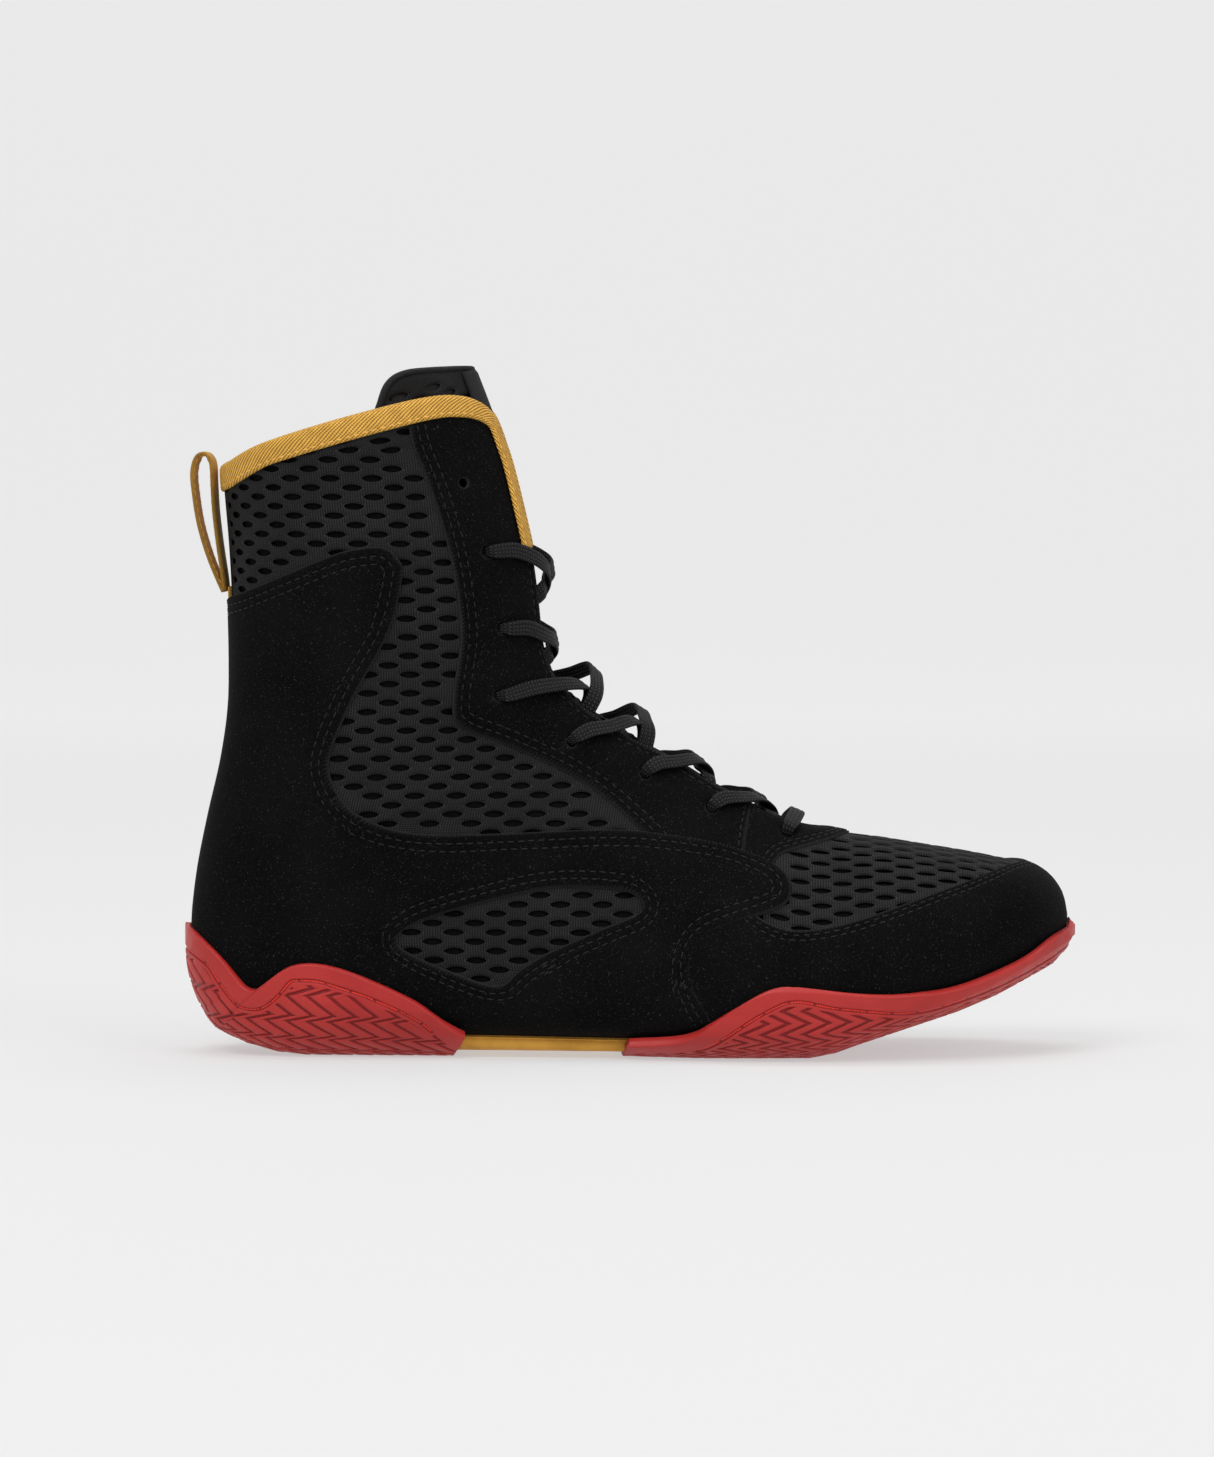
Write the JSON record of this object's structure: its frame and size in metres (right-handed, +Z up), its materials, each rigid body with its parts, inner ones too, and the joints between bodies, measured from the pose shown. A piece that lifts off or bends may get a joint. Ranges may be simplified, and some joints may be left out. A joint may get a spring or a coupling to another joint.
{
  "type": "boxing boot",
  "caption": "High lace-up boxing boot for the right foot: suede and open-mesh upper with a bound collar and heel loop, on a split rubber cup sole joined by an arch bridge.",
  "frame": {"origin": "middle of the footprint, on the ground", "axes": "+X towards the toe, -Y to the outer (lateral) side of the foot, +Z up"},
  "size_m": [0.2907, 0.1024, 0.2206],
  "materials": {
    "suede": "matte black suede",
    "mesh": "black open-hole knit",
    "lining": "black knit",
    "stiffener": "hidden stiffener sheet",
    "foam": "open-cell foam",
    "rubber": "red, satin",
    "gold_foam": "gold-yellow EVA, matte",
    "gold_tape": "gold-yellow woven tape",
    "board": "hidden fibre board",
    "lace": "black braid",
    "label": "smooth black tape"
  },
  "bodies": {
    "boot": {"arch_bridge": "gold_foam", "collar_binding": "gold_tape", "forefoot_outsole": "rubber", "heel_counter": "stiffener", "heel_outsole": "rubber", "insole_board": "board", "lace": "lace", "lateral_collar_foam": "foam", "lateral_eyestay": "suede", "lateral_eyestay_backing": "stiffener", "lateral_lining": "lining", "lateral_mesh_quarter": "mesh", "lateral_suede_quarter": "suede", "medial_collar_foam": "foam", "medial_eyestay": "suede", "medial_eyestay_backing": "stiffener", "medial_lining": "lining", "medial_mesh_quarter": "mesh", "medial_suede_quarter": "suede", "midsole": "gold_foam", "throat_piece": "suede", "toe_cap": "suede", "toe_puff": "stiffener", "vamp_lining": "lining", "vamp_mesh": "mesh"},
    "tongue": {"tongue_cover": "mesh", "tongue_foam": "foam", "tongue_label": "label", "tongue_lining": "lining"},
    "pull_loop": {"heel_pull_loop": "gold_tape"},
    "sockliner": {"sockliner": "foam"}
  },
  "joints": [
    {"name": "tongue_hinge", "type": "hinge", "parent": "boot", "child": "tongue", "pos_m": [0.05, 0, 0.066], "axis": [0, 1, 0], "range_deg": [-5, 0]},
    {"name": "pull_loop_swing", "type": "hinge", "parent": "boot", "child": "pull_loop", "pos_m": [-0.1315, 0, 0.15], "axis": [0, 1, 0], "range_deg": [-60, 0], "stiffness_Nm_per_rad": 0.01},
    {"name": "sockliner_lift", "type": "hinge", "parent": "boot", "child": "sockliner", "pos_m": [0.13, 0, 0.038], "axis": [0, 1, 0], "range_deg": [0, 8]}
  ]
}
